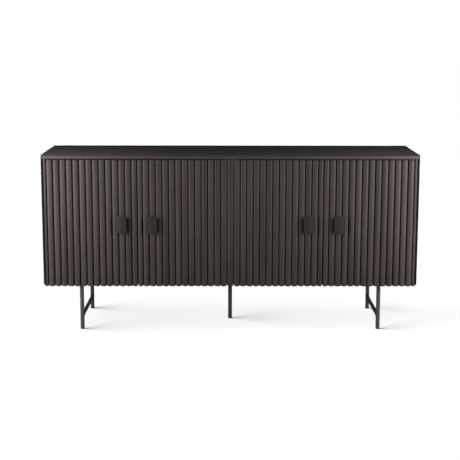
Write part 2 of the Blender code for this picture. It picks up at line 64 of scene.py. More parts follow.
# ---------------------------------------------------------------- slats and boards
SLAT_PITCH = 0.0313
SLAT_GROOVE = 0.006
SLAT_RELIEF = 0.012
SLAT_EDGE_SLOPE = 13
SLAT_EDGE_RADIUS = 0.0036
SLAT_END_RADIUS = 0.0018
SLAT_END_STEPS = 4
SLAT_OVERHANG = 0.003
SEAT_GAP = 0.0003
MEETING_SETBACK = 0.0015
NOTCH_WIDTH = 0.020
NOTCH_LIP = 0.0025
NOTCH_LIFT = 0.0057
SIDE_BEVEL_WIDTH = 0.020
SIDE_BEVEL_DEPTH = 0.050
BUSH_HOLE_RADIUS = 0.0044
BUSH_HOLE_STEPS = 24
BOARD_EDGE = 0.0008
TOP_EDGE = 0.0016
SMOOTH_ANGLE = 35
SLAT_SMOOTH_ANGLE = 28
TONE_SPREAD = 0.16
TONE_STEP = 1.7
TONE_DOOR_STEP = 9.0
FORWARD = Vector((0.0, -1.0, 0.0))
FRONT_FACING = 0.6
BEVEL_FACING = 0.97

# ---------------------------------------------------------------- metalwork
TUBE_WALL = 0.0015
TUBE_STEPS = 48
TUBE_RIM = 0.0006
TUBE_LIP = 0.001
FOOT_RIM = 0.0008
FOOT_PLUG_GAP = 0.0004
FLANGE_THICKNESS = 0.004
FLANGE_FILLET = 0.003
FLANGE_EDGE = 0.0008
FLANGE_SCREW_CIRCLE = 0.024
BAR_EDGE = 0.0006
BAR_SCREW_SHARES = (0.2, 0.5, 0.8)
BAR_SCREW_OFFSET = 0.012
WELD_RADIUS = 0.0022
WELD_FLATNESS = 0.62
WELD_LIFT = 0.0004
WELD_RIPPLE = 0.18
WELD_RIPPLE_STEP = 2.7
WELD_STEPS = 36
WELD_ROUND_STEPS = 8
SCREW_RADIUS = 0.0042
SCREW_DOME = 0.0017
SCREW_SEAT = 0.0002
SCREW_STEPS = 24
BRACKET_SCREW_RADIUS = 0.0034
BRACKET_SCREW_SHARES = (0.25, 0.75)
BRACKET_SCREW_SETBACKS = (0.010, 0.032)
STRIKE_EDGE = 0.0004
CATCH_EDGE = 0.0012
MAGNET_OFFSET = 0.0165
MAGNET_HALF = 0.009
MAGNET_RISES = (0.0035, 0.0095)
MAGNET_SIZE = (0.018, 0.002, 0.0014)
MAGNET_PROUD = 0.00025
MAGNET_EDGE = 0.0002
PULL_PLATE = 0.006
PULL_EDGE = 0.0012
PULL_GRID = 0.0022
PULL_DENT = 0.0005
PULL_DENTS = 90
PULL_FLAT = 0.12
PULL_SLOPE = 0.10
PULL_WEAR = 0.0005
PULL_WEAR_SCALE = 160
PULL_SEED = 3.7
PULL_SMOOTH_ANGLE = 50
NECK_HALF = 0.008
NECK_SINK = 0.001

# ---------------------------------------------------------------- studio
LEFT_SOFTBOX_POWER = 46
RIGHT_SOFTBOX_POWER = 40.5
SOFTBOX_COLOUR = (1.0, 0.975, 0.965)
SOFTBOX_PLACE = (1.65, -1.01, 0.95)
SOFTBOX_AIM = (0.62, -0.24, 0.55)
SOFTBOX_SIZE = (0.45, 1.7)
REAR_POWER = 30
REAR_PLACE = (0.0, 3.2, 1.8)
REAR_AIM = (0.0, 0.25, 0.5)
REAR_SIZE = (3.0, 1.5)
FLOOR_SUN = 6.25
FLOOR_SUN_WIDTH = 66
FLOOR_SUN_TILT = -57
FLOOR_SUN_TURN = 8
FLOOR_FILL_POWER = 5
FLOOR_FILL_PLACE = (1.9, -0.4, 1.4)
FLOOR_FILL_AIM = (1.1, 0.0, 0.0)
FLOOR_FILL_SIZE = (1.2, 1.2)
FLOOR_BOUNCE = 0.15
FLOOR_SIZE = 60.0
FLOOR_DROP = 0.0002
SURROUND = 0.03
BACKDROP = 1.05

# ---------------------------------------------------------------- wood grain, in cycles per metre
FIBRE_ACROSS = 520.0
FIBRE_ALONG = 7.0
BAND_ACROSS = 34.0
BAND_ALONG = 1.6
PORE_ACROSS = 1100.0
PORE_ALONG = 45.0


# ---------------------------------------------------------------- materials
def new_material(name):
    """A Principled material, with its tree and its shader."""
    material = bpy.data.materials.new(name)
    material.use_nodes = True
    tree = material.node_tree
    return material, tree, tree.nodes["Principled BSDF"]


def stretched_noise(tree, scale, detail=4.0, roughness=0.55, offset=(0.0, 0.0, 0.0)):
    """Noise over the piece's own place, with its own frequency along each axis, in cycles per metre."""
    place = tree.nodes.new("ShaderNodeTexCoord")
    mapping = tree.nodes.new("ShaderNodeMapping")
    mapping.inputs["Scale"].default_value = scale
    mapping.inputs["Location"].default_value = offset
    texture = tree.nodes.new("ShaderNodeTexNoise")
    texture.inputs["Scale"].default_value = 1.0
    texture.inputs["Detail"].default_value = detail
    texture.inputs["Roughness"].default_value = roughness
    tree.links.new(place.outputs["Object"], mapping.inputs["Vector"])
    tree.links.new(mapping.outputs["Vector"], texture.inputs["Vector"])
    return texture.outputs["Fac"]


def remap(tree, value, low, high, start=0.3, end=0.7):
    """A value's middle range spread between two numbers."""
    node = tree.nodes.new("ShaderNodeMapRange")
    node.inputs["From Min"].default_value = start
    node.inputs["From Max"].default_value = end
    node.inputs["To Min"].default_value = low
    node.inputs["To Max"].default_value = high
    tree.links.new(value, node.inputs["Value"])
    return node.outputs["Result"]


def math_node(tree, operation, first, second):
    """Two values joined by one sum."""
    node = tree.nodes.new("ShaderNodeMath")
    node.operation = operation
    for socket, value in zip(node.inputs, (first, second)):
        if isinstance(value, (int, float)):
            socket.default_value = value
        else:
            tree.links.new(value, socket)
    return node.outputs["Value"]


def colour_between(tree, value, dark, light):
    """A colour between two, by a value from 0 to 1."""
    node = tree.nodes.new("ShaderNodeMix")
    node.data_type = "RGBA"
    node.inputs["A"].default_value = (*dark, 1.0)
    node.inputs["B"].default_value = (*light, 1.0)
    tree.links.new(value, node.inputs["Factor"])
    return node.outputs["Result"]


def bump(tree, shader, height, strength, distance):
    """Relief from a height value."""
    node = tree.nodes.new("ShaderNodeBump")
    node.inputs["Strength"].default_value = strength
    node.inputs["Distance"].default_value = distance
    tree.links.new(height, node.inputs["Height"])
    tree.links.new(node.outputs["Normal"], shader.inputs["Normal"])


def wood(name, dark, light, gloss, grain_axis, specular):
    """Stained wood: fine fibres and slow bands along the grain, open pores, and a tone for each slat."""
    material, tree, shader = new_material(name)
    fibre = [FIBRE_ACROSS] * 3
    band = [BAND_ACROSS] * 3
    pore = [PORE_ACROSS] * 3
    fibre[grain_axis] = FIBRE_ALONG
    band[grain_axis] = BAND_ALONG
    pore[grain_axis] = PORE_ALONG
    fibres = stretched_noise(tree, fibre)
    bands = stretched_noise(tree, band, detail=3.0, offset=(3.1, 1.7, 0.4))
    pores = stretched_noise(tree, pore, detail=2.0, offset=(0.7, 5.3, 2.9))
    tone = tree.nodes.new("ShaderNodeAttribute")
    tone.attribute_name = "tone"
    grain = math_node(tree, "ADD", remap(tree, fibres, -0.25, 0.35), remap(tree, bands, 0.0, 0.9))
    shade = math_node(tree, "ADD", grain, tone.outputs["Fac"])
    stain = colour_between(tree, shade, dark, light)
    pits = remap(tree, pores, 0.45, 1.0, 0.30, 0.42)
    filled = tree.nodes.new("ShaderNodeMix")
    filled.data_type = "RGBA"
    filled.blend_type = "MULTIPLY"
    filled.inputs["Factor"].default_value = 1.0
    tree.links.new(stain, filled.inputs["A"])
    tree.links.new(pits, filled.inputs["B"])
    tree.links.new(filled.outputs["Result"], shader.inputs["Base Color"])
    tree.links.new(remap(tree, fibres, gloss - 0.05, gloss + 0.08), shader.inputs["Roughness"])
    shader.inputs["Specular IOR Level"].default_value = specular
    bump(tree, shader, math_node(tree, "ADD", fibres, pits), 0.30, 0.0004)
    return material


def metal(name, dark, light, gloss, metallic, mottle, relief, specular=0.5):
    """Metal with a mottled finish: its colour, its gloss and its relief vary together."""
    material, tree, shader = new_material(name)
    patches = stretched_noise(tree, (mottle, mottle, mottle), detail=6.0, roughness=0.6)
    specks = stretched_noise(tree, (mottle * 7, mottle * 7, mottle * 7), detail=3.0, offset=(2.2, 0.6, 4.1))
    blend = math_node(tree, "ADD", remap(tree, patches, 0.0, 0.75), remap(tree, specks, -0.12, 0.25))
    tree.links.new(colour_between(tree, blend, dark, light), shader.inputs["Base Color"])
    tree.links.new(remap(tree, patches, gloss + 0.10, gloss - 0.06), shader.inputs["Roughness"])
    shader.inputs["Metallic"].default_value = metallic
    shader.inputs["Specular IOR Level"].default_value = specular
    bump(tree, shader, math_node(tree, "ADD", patches, specks), relief, 0.0006)
    return material


def plastic(name, dark, light, gloss):
    """Moulded plastic with a fine matt texture."""
    material, tree, shader = new_material(name)
    cloud = stretched_noise(tree, (60.0, 60.0, 60.0), detail=3.0)
    fine = stretched_noise(tree, (2400.0, 2400.0, 2400.0), detail=2.0)
    colour = colour_between(tree, remap(tree, cloud, 0.0, 1.0), dark, light)
    tree.links.new(colour, shader.inputs["Base Color"])
    tree.links.new(remap(tree, cloud, gloss - 0.05, gloss + 0.05), shader.inputs["Roughness"])
    bump(tree, shader, fine, 0.15, 0.0002)
    return material


BODY_WOOD = wood("espresso_wood", (0.032, 0.0245, 0.021), (0.055, 0.0435, 0.038), 0.52, 2, 0.32)
LEVEL_WOOD = wood("espresso_wood_level", (0.034, 0.026, 0.022), (0.058, 0.046, 0.040), 0.52, 0, 0.32)
# The sides' darker copy of the doors' wood is painted shade, not a stain of their own.
SHADED_SIDE_WOOD = wood("espresso_wood_sides_painted_shade", (0.016, 0.013, 0.0115), (0.032, 0.026, 0.023), 0.60, 2, 0.22)
# The bevels' near-black copy of the wood is painted shade: they stand unlit beside the front.
SHADED_BEVEL_WOOD = wood("espresso_wood_bevels_painted_shade", (0.0030, 0.0026, 0.0025), (0.0065, 0.0058, 0.0055), 0.66, 2, 0.05)
TOP_WOOD = wood("black_top", (0.044, 0.042, 0.044), (0.075, 0.072, 0.074), 0.72, 0, 0.12)
LINING = wood("lining_board", (0.045, 0.038, 0.034), (0.080, 0.068, 0.060), 0.58, 0, 0.35)
UPRIGHT_LINING = wood("lining_board_upright", (0.045, 0.038, 0.034), (0.080, 0.068, 0.060), 0.58, 2, 0.35)
BASE_METAL = metal("bronzed_steel", (0.070, 0.054, 0.047), (0.118, 0.094, 0.084), 0.48, 0.35, 28.0, 0.12)
# The braces' near-black copy of the bronzed steel is painted shade: they run low under the cabinet, turned
# from the lamps.
SHADED_BRACE_METAL = metal(
    "bronzed_steel_braces_painted_shade", (0.008, 0.007, 0.006), (0.016, 0.013, 0.012), 0.66, 0.10, 28.0, 0.12, 0.2
)
IRON = metal("hammered_iron", (0.013, 0.0115, 0.0105), (0.052, 0.045, 0.040), 0.52, 0.55, 75.0, 0.55)
STEEL = metal("zinc_steel", (0.42, 0.42, 0.41), (0.60, 0.60, 0.58), 0.30, 1.0, 40.0, 0.05)
DARK_STEEL = metal("dark_screws", (0.05, 0.047, 0.045), (0.10, 0.095, 0.09), 0.35, 0.9, 60.0, 0.05)
MAGNET = metal("magnet_poles", (0.30, 0.30, 0.30), (0.42, 0.42, 0.42), 0.28, 1.0, 60.0, 0.05)
NYLON = plastic("black_nylon", (0.010, 0.010, 0.010), (0.018, 0.018, 0.018), 0.52)


# ---------------------------------------------------------------- making and placing pieces
def piece(name, mesh, material, body, nodes=(), smooth=SMOOTH_ANGLE):
    """Puts a finished mesh in the scene as one piece that rides on a body and stands for CAD nodes."""
    mesh.name = name
    mesh.materials.clear()
    mesh.materials.append(material)
    mesh.shade_smooth()
    mesh.set_sharp_from_angle(angle=math.radians(smooth))
    made = bpy.data.objects.new(name, mesh)
    bpy.context.scene.collection.objects.link(made)
    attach(made, body)
    if nodes:
        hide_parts(*nodes)
    return made


def finish_facing(made, material, direction, least):
    """Gives the faces of a piece that look one way a finish of their own."""
    made.data.materials.append(material)
    slot = len(made.data.materials) - 1
    for face in made.data.polygons:
        if face.normal.dot(direction) > least:
            face.material_index = slot


def mesh_from(shape):
    """A mesh from a finished bmesh, with its faces pointing out."""
    bmesh.ops.recalc_face_normals(shape, faces=shape.faces)
    mesh = bpy.data.meshes.new("shape")
    shape.to_mesh(mesh)
    shape.free()
    return mesh


def add_block(shape, low, high, edge, segments=2):
    """A block with softened edges, added to a shape."""
    made = bmesh.ops.create_cube(shape, size=1.0)["verts"]
    size = Vector(high) - Vector(low)
    bmesh.ops.scale(shape, vec=size, verts=made)
    bmesh.ops.translate(shape, vec=(Vector(high) + Vector(low)) / 2, verts=made)
    edges = list({one for vert in made for one in vert.link_edges})
    bmesh.ops.bevel(shape, geom=edges, offset=edge, segments=segments, profile=0.5, affect="EDGES")


def board(node, material, body):
    """A softened board that fills a CAD node's box."""
    low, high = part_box(node)
    shape = bmesh.new()
    add_block(shape, low, high, BOARD_EDGE)
    return piece(f"{node}_board", mesh_from(shape), material, body, (node,))


def outline_prism(outline, low_z, high_z, edge, segments=3):
    """A flat outline raised between two heights, with all its edges softened."""
    shape = bmesh.new()
    verts = [shape.verts.new((x, y, low_z)) for x, y in outline]
    face = shape.faces.new(verts)
    raised = bmesh.ops.extrude_face_region(shape, geom=[face])
    upper = [item for item in raised["geom"] if isinstance(item, bmesh.types.BMVert)]
    bmesh.ops.translate(shape, vec=(0, 0, high_z - low_z), verts=upper)
    edges = list(shape.edges)
    bmesh.ops.bevel(shape, geom=edges, offset=edge, segments=segments, profile=0.5, affect="EDGES")
    return shape


def subtract(mesh, cutters):
    """A mesh with other meshes cut out of it."""
    whole = bpy.data.objects.new("whole", mesh)
    bpy.context.scene.collection.objects.link(whole)
    tools = []
    for cutter in cutters:
        tool = bpy.data.objects.new("tool", cutter)
        bpy.context.scene.collection.objects.link(tool)
        boolean = whole.modifiers.new("cut", "BOOLEAN")
        boolean.operation = "DIFFERENCE"
        boolean.solver = "EXACT"
        boolean.object = tool
        tools.append(tool)
    seen = whole.evaluated_get(bpy.context.evaluated_depsgraph_get())
    result = bpy.data.meshes.new_from_object(seen)
    for thing in (whole, *tools):
        bpy.data.objects.remove(thing)
    return result


def block_mesh(low, high):
    """A sharp block, for cutting."""
    shape = bmesh.new()
    made = bmesh.ops.create_cube(shape, size=1.0)["verts"]
    bmesh.ops.scale(shape, vec=Vector(high) - Vector(low), verts=made)
    bmesh.ops.translate(shape, vec=(Vector(high) + Vector(low)) / 2, verts=made)
    return mesh_from(shape)


def rod_mesh(centre, radius, length, steps=TUBE_STEPS):
    """An upright rod about a point, for cutting."""
    shape = bmesh.new()
    bmesh.ops.create_cone(
        shape,
        cap_ends=True,
        segments=steps,
        radius1=radius,
        radius2=radius,
        depth=length,
        matrix=Matrix.Translation(centre),
    )
    return mesh_from(shape)


def add_turned(shape, profile, centre, axis=(0, 0, 1), steps=TUBE_STEPS):
    """Turns a profile of (radius, distance along the axis) about an axis through a point."""
    turn = Vector((0, 0, 1)).rotation_difference(Vector(axis)).to_matrix()
    rings = []
    for radius, along in profile:
        if radius < 1e-6:
            rings.append([shape.verts.new(Vector(centre) + turn @ Vector((0, 0, along)))])
            continue
        ring = []
        for step in range(steps):
            angle = math.tau * step / steps
            point = Vector((radius * math.cos(angle), radius * math.sin(angle), along))
            ring.append(shape.verts.new(Vector(centre) + turn @ point))
        rings.append(ring)
    for lower, upper in zip(rings, rings[1:]):
        for step in range(steps):
            after = (step + 1) % steps
            corners = [lower[step % len(lower)], lower[after % len(lower)]]
            corners += [upper[after % len(upper)], upper[step % len(upper)]]
            shape.faces.new(list(dict.fromkeys(corners)))


def quarter(radius_at, along_at, size, start, end, steps=4):
    """Points (radius, along) on a small arc, with its angles in degrees, for turned profiles."""
    points = []
    for step in range(steps + 1):
        angle = math.radians(start + (end - start) * step / steps)
        points.append((radius_at + size * math.cos(angle), along_at + size * math.sin(angle)))
    return points


def add_screw(shape, centre, axis, radius=SCREW_RADIUS):
    """A domed screw head with a round recess, standing on a face."""
    dome = [(0.0, -SCREW_SEAT), (radius, -SCREW_SEAT), (radius, SCREW_SEAT)]
    dome += [
        (radius * math.cos(math.radians(a)), SCREW_SEAT + SCREW_DOME * math.sin(math.radians(a)))
        for a in (20, 40, 60)
    ]
    recess = radius * 0.42
    dome += [(recess, SCREW_SEAT + SCREW_DOME * 0.91), (recess * 0.6, 3 * SCREW_SEAT), (0.0, 2 * SCREW_SEAT)]
    add_turned(shape, dome, centre, axis, steps=SCREW_STEPS)


# ---------------------------------------------------------------- carcass
def bevelled_corner(side, low, high):
    """The plan of the body's front corner on one side, from the front face to the side face."""
    edge_x = high.x if side > 0 else low.x
    return [
        (edge_x - side * SIDE_BEVEL_WIDTH, low.y),
        (edge_x, low.y + SIDE_BEVEL_DEPTH),
    ]


def make_top():
    """The top: black above, its front edge in the doors' stain, with holes for the pivot bushes below."""
    low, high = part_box("top_panel")
    left = bevelled_corner(-1, low, high)
    right = bevelled_corner(1, low, high)
    outline = left[::-1] + right + [(high.x, high.y), (low.x, high.y)]
    mesh = mesh_from(outline_prism(outline, low.z, high.z, TOP_EDGE))
    holes = []
    for number in range(1, 5):
        bush_low, bush_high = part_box(f"pivot_bush_{number}")
        reach = bush_high.z - low.z + SEAT_GAP
        centre = ((bush_low.x + bush_high.x) / 2, (bush_low.y + bush_high.y) / 2, low.z)
        holes.append(rod_mesh(centre, BUSH_HOLE_RADIUS, 2 * reach, BUSH_HOLE_STEPS))
    made = piece("top_board", subtract(mesh, holes), TOP_WOOD, "carcass", ("top_panel",))
    finish_facing(made, LEVEL_WOOD, FORWARD, FRONT_FACING)


def make_sides():
    """The side panels: a long bevel and flat sides in darker copies of the doors' wood, which is painted
    shade, leaving a narrow front edge in the doors' stain.
    """
    for name, side in (("left", -1), ("right", 1)):
        node = f"side_panel_{name}"
        low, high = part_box(node)
        inner_x = high.x if side < 0 else low.x
        outer_x = low.x if side < 0 else high.x
        outline = [
            (inner_x, high.y),
            (inner_x, low.y),
            *bevelled_corner(side, low, high),
            (outer_x, high.y),
        ]
        mesh = mesh_from(outline_prism(outline, low.z, high.z, BOARD_EDGE))
        # Faces are finished by the way they face: the flat sides and the bevel carry painted shade, the
        # front edge the doors' stain.
        made = piece(f"{node}_board", mesh, SHADED_SIDE_WOOD, "carcass", (node,))
        shaded_bevel_facing = Vector((side * SIDE_BEVEL_DEPTH, -SIDE_BEVEL_WIDTH, 0.0)).normalized()
        finish_facing(made, SHADED_BEVEL_WOOD, shaded_bevel_facing, BEVEL_FACING)
        finish_facing(made, BODY_WOOD, FORWARD, FRONT_FACING)


def make_inner_boards():
    """The boards behind the doors, each softened at its edges."""
    board("bottom_panel", LEVEL_WOOD, "carcass")
    board("centre_partition", BODY_WOOD, "carcass")
    board("back_panel", UPRIGHT_LINING, "carcass")
    for side in ("left", "right"):
        board(f"shelf_{side}", LINING, "carcass")
        for end in ("inner", "outer"):
            board(f"shelf_cleat_{side}_{end}", LEVEL_WOOD, "carcass")


# ---------------------------------------------------------------- slats
def slat_profile(width):
    """A crowned slat in plan, as (place across, depth behind its crest) from left to right."""
    slope = math.radians(SLAT_EDGE_SLOPE)
    radius = SLAT_EDGE_RADIUS
    crown = (width / 2 - radius * (1 - math.sin(slope))) / math.sin(slope)
    points = []
    for degrees in (-90, -72, -54, -36, -SLAT_EDGE_SLOPE, -6, 0, 6, SLAT_EDGE_SLOPE, 36, 54, 72, 90):
        angle = math.radians(degrees)
        side = -1 if degrees < 0 else 1
        if abs(degrees) <= SLAT_EDGE_SLOPE:
            points.append((crown * math.sin(angle), crown * (1 - math.cos(angle))))
            continue
        across = crown * math.sin(slope) + radius * (math.sin(abs(angle)) - math.sin(slope))
        depth = crown * (1 - math.cos(slope)) + radius * (math.cos(slope) - math.cos(angle))
        points.append((side * across, depth))
    return points


def end_rings(low_z, high_z):
    """Heights along a slat, each with how far the slat is drawn in there, so that its ends are rounded."""
    radius = SLAT_END_RADIUS
    ends = []
    for step in range(SLAT_END_STEPS + 1):
        angle = math.radians(90 * step / SLAT_END_STEPS)
        ends.append((radius * (1 - math.cos(angle)), radius * (1 - math.sin(angle))))
    lower = [(low_z + along, inset) for along, inset in ends]
    upper = [(high_z - along, inset) for along, inset in reversed(ends)]
    return lower + upper


def slat_mesh(edges, sides, front_y, web_y, back_y, low_z, high_z):
    """A fluted board: slats between pairs of edges, on a web that runs between the board's own sides."""
    shape = bmesh.new()
    tone = shape.faces.layers.float.new("tone")
    rings = []
    for height, inset in end_rings(low_z, high_z):
        ring = [(sides[0], back_y), (sides[0], web_y)]
        for near, far in edges:
            middle = (near + far) / 2
            half = (far - near) / 2
            across = 1 - inset / half
            relief = web_y - front_y
            inward = 1 - inset / relief
            ring.append((near, web_y))
            for x, depth in slat_profile(far - near):
                ring.append((middle + x * across, web_y - (relief - depth) * inward))
            ring.append((far, web_y))
        ring += [(sides[1], web_y), (sides[1], back_y)]
        rings.append([shape.verts.new((x, y, height)) for x, y in ring])
    count = len(rings[0])
    for lower, upper in zip(rings, rings[1:]):
        for i in range(count):
            after = (i + 1) % count
            face = shape.faces.new((lower[i], lower[after], upper[after], upper[i]))
            slat = int((lower[i].co.x - sides[0]) / SLAT_PITCH)
            spot = Vector((sides[0] * TONE_DOOR_STEP, slat * TONE_STEP, 0.5))
            face[tone] = TONE_SPREAD * noise.noise(spot)
    shape.faces.new(list(reversed(rings[0])))
    shape.faces.new(rings[-1])
    return mesh_from(shape)


def door_slat_edges(hinge_x, meeting_x):
    """Where a door's slats start and end, counted from its hinged edge; the last one takes what is left."""
    way = 1 if meeting_x > hinge_x else -1
    width = abs(meeting_x - hinge_x)
    full = round(width / SLAT_PITCH) - 1
    half_groove = SLAT_GROOVE / 2
    reaches = [(i * SLAT_PITCH + half_groove, (i + 1) * SLAT_PITCH - half_groove) for i in range(full)]
    reaches.append((full * SLAT_PITCH + half_groove, width - MEETING_SETBACK))
    return sorted(tuple(sorted((hinge_x + way * a, hinge_x + way * b))) for a, b in reaches)


def make_door(joint):
    """A door's reeded front and its backing, both notched for the bracket arm that carries the door."""
    body = joint["child"]
    number = body.rsplit("_", 1)[1]
    axis_x = joint["pos_m"][0]
    low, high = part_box(f"door_slats_{number}")
    hinge_x, meeting_x = (low.x, high.x) if axis_x < (low.x + high.x) / 2 else (high.x, low.x)
    way = 1 if meeting_x > hinge_x else -1
    edges = door_slat_edges(hinge_x, meeting_x)
    front = slat_mesh(edges, (low.x, high.x), low.y, low.y + SLAT_RELIEF, high.y, low.z, high.z)
    across = sorted((hinge_x - way * NOTCH_WIDTH, hinge_x + way * NOTCH_WIDTH))
    notch_low = (across[0], low.y + NOTCH_LIP, low.z - NOTCH_LIFT)
    notch_high = (across[1], high.y + NOTCH_WIDTH, low.z + NOTCH_LIFT)
    step_low = (low.x - SLAT_PITCH, low.y + SLAT_RELIEF - SEAT_GAP, low.z - SLAT_PITCH)
    step_high = (high.x + SLAT_PITCH, high.y + SLAT_PITCH, low.z + SLAT_OVERHANG)
    front = subtract(front, [block_mesh(step_low, step_high), block_mesh(notch_low, notch_high)])
    nodes = (f"door_slats_{number}",)
    piece(f"reeded_front_{number}", front, BODY_WOOD, body, nodes, SLAT_SMOOTH_ANGLE)

    back_low, back_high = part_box(f"door_panel_{number}")
    shape = bmesh.new()
    add_block(shape, back_low, back_high, BOARD_EDGE)
    backing = subtract(mesh_from(shape), [block_mesh(notch_low, notch_high)])
    piece(f"door_backing_{number}", backing, BODY_WOOD, body, (f"door_panel_{number}",))


def make_post():
    """The fixed slat between the inner doors."""
    low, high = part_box("centre_post")
    sides = (low.x, high.x)
    mesh = slat_mesh([sides], sides, low.y, low.y + SLAT_RELIEF, high.y, low.z, high.z)
    piece("fixed_slat", mesh, BODY_WOOD, "carcass", ("centre_post",), SLAT_SMOOTH_ANGLE)


# ---------------------------------------------------------------- pulls
def pull_mesh(low, high, outward, seed):
    """A rough cast pull on a plain neck: a dented plate with worn edges, whose outer side is beaten back."""
    plate_back = low.y + PULL_PLATE
    shape = bmesh.new()
    add_block(shape, low, (high.x, plate_back, high.z), PULL_EDGE, 3)
    width = high.x - low.x
    long_edges = [edge for edge in shape.edges if edge.calc_length() > width / 2]
    cuts = int((high.z - low.z) / PULL_GRID / 2)
    bmesh.ops.subdivide_edges(shape, edges=long_edges, cuts=cuts, use_grid_fill=True)
    middle_x = (low.x + high.x) / 2
    for vert in shape.verts:
        place = vert.co.copy()
        forward = (plate_back - place.y) / PULL_PLATE
        dents = noise.fractal(place * PULL_DENTS + Vector((seed, 0, 0)), 1.0, 2.0, 4)
        past = max(0.0, outward * (place.x - middle_x) - PULL_FLAT * width)
        vert.co.y += forward * (PULL_DENT * max(0.0, 1 + dents) + PULL_SLOPE * past)
        wear = 1 + noise.noise(place * PULL_WEAR_SCALE + Vector((0, seed, 0)))
        vert.co.x += PULL_WEAR * wear * (middle_x - place.x) / width
        vert.co.z += PULL_WEAR * wear * ((low.z + high.z) / 2 - place.z) / width
    neck_low = (middle_x - NECK_HALF, plate_back - NECK_SINK, low.z + NECK_SINK)
    neck_high = (middle_x + NECK_HALF, high.y, high.z - NECK_SINK)
    add_block(shape, neck_low, neck_high, BOARD_EDGE)
    return mesh_from(shape)


def make_pulls():
    """One pull for each door, with its beaten edge away from the cabinet's middle."""
    for number in range(1, 5):
        low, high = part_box(f"handle_{number}")
        outward = -1 if number < 3 else 1
        mesh = pull_mesh(low, high, outward, PULL_SEED * number)
        nodes = (f"handle_{number}",)
        piece(f"cast_pull_{number}", mesh, IRON, f"door_{number}", nodes, PULL_SMOOTH_ANGLE)


# ---------------------------------------------------------------- base
def make_legs():
    """The round tubes of the base, each with a softened lower rim, and a foot under each."""
    for place in ("front_left", "rear_left", "front_right", "rear_right", "centre"):
        foot_low, foot_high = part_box(f"glide_{place}")
        radius = (foot_high.x - foot_low.x) / 2
        centre = ((foot_low.x + foot_high.x) / 2, (foot_low.y + foot_high.y) / 2, 0.0)
        low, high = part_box(f"leg_{place}")
        inner = radius - TUBE_WALL
        shape = bmesh.new()
        profile = [(inner, high.z - TUBE_LIP), (inner, low.z)]
        profile += quarter(radius - TUBE_RIM, low.z + TUBE_RIM, TUBE_RIM, -90, 0, 3)
        if place == "centre":
            flange = (high.x - low.x) / 2
            flange_low = high.z - FLANGE_THICKNESS
            profile += quarter(radius + FLANGE_FILLET, flange_low - FLANGE_FILLET, FLANGE_FILLET, 180, 90, 3)
            profile += [
                (flange - FLANGE_EDGE, flange_low),
                (flange, flange_low + FLANGE_EDGE),
                (flange, high.z),
                (inner, high.z),
            ]
        else:
            profile += [(radius, high.z), (inner, high.z)]
        add_turned(shape, profile + profile[:1], centre)
        bmesh.ops.remove_doubles(shape, verts=shape.verts, dist=0.00001)
        node = f"leg_{place}"
        piece(f"tube_{node}", mesh_from(shape), BASE_METAL, "carcass", (node,))

        shape = bmesh.new()
        disc_top = low.z - SEAT_GAP
        plug = inner - FOOT_PLUG_GAP
        sole = [(0.0, 0.0), *quarter(radius - FOOT_RIM, FOOT_RIM, FOOT_RIM, -90, 0, 3)]
        sole += [(radius, disc_top), (plug, disc_top), (plug, foot_high.z), (0.0, foot_high.z)]
        add_turned(shape, sole, centre)
        piece(f"foot_{place}", mesh_from(shape), NYLON, "carcass", (f"glide_{place}",))


def make_stretchers():
    """The low round braces, with a weld bead where each meets a leg, both in a near-black copy of the base
    metal that is painted shade.
    """
    for side in ("left", "right"):
        low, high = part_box(f"stretcher_{side}")
        radius = (high.z - low.z) / 2
        centre_x = (low.x + high.x) / 2
        centre_z = (low.z + high.z) / 2
        shape = bmesh.new()
        profile = [(0.0, 0.0), (radius, 0.0), (radius, high.y - low.y), (0.0, high.y - low.y)]
        add_turned(shape, profile, (centre_x, low.y, centre_z), (0, 1, 0))
        mesh = mesh_from(shape)
        cutters = []
        for end in ("front", "rear"):
            leg_low, leg_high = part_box(f"leg_{end}_{side}")
            centre = ((leg_low.x + leg_high.x) / 2, (leg_low.y + leg_high.y) / 2, centre_z)
            cutters.append(rod_mesh(centre, (leg_high.x - leg_low.x) / 2, 4 * radius))
        mesh = subtract(mesh, cutters)
        piece(f"brace_{side}", mesh, SHADED_BRACE_METAL, "carcass", (f"stretcher_{side}",))

        shape = bmesh.new()
        for end, sign in (("front", 1), ("rear", -1)):
            leg_low, leg_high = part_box(f"leg_{end}_{side}")
            leg_radius = (leg_high.x - leg_low.x) / 2
            leg_y = (leg_low.y + leg_high.y) / 2
            rings = []
            away = Vector((0, sign, 0))
            for step in range(WELD_STEPS):
                angle = math.tau * step / WELD_STEPS
                x = (radius + WELD_LIFT) * math.cos(angle)
                z = (radius + WELD_LIFT) * math.sin(angle)
                y = math.sqrt(leg_radius ** 2 - x ** 2) + SEAT_GAP
                middle = Vector((centre_x + x, leg_y + sign * y, centre_z + z))
                size = WELD_RADIUS * WELD_FLATNESS * (1 + WELD_RIPPLE * math.sin(step * WELD_RIPPLE_STEP))
                out = Vector((x, 0, z)).normalized()
                ring = []
                for k in range(WELD_ROUND_STEPS):
                    turn = math.tau * k / WELD_ROUND_STEPS
                    point = middle + (out * math.cos(turn) + away * math.sin(turn)) * size
                    ring.append(shape.verts.new(point))
                rings.append(ring)
            for i, ring in enumerate(rings):
                following = rings[(i + 1) % len(rings)]
                for k in range(WELD_ROUND_STEPS):
                    after = (k + 1) % WELD_ROUND_STEPS
                    shape.faces.new((ring[k], ring[after], following[after], following[k]))
        piece(f"weld_beads_{side}", mesh_from(shape), SHADED_BRACE_METAL, "carcass")


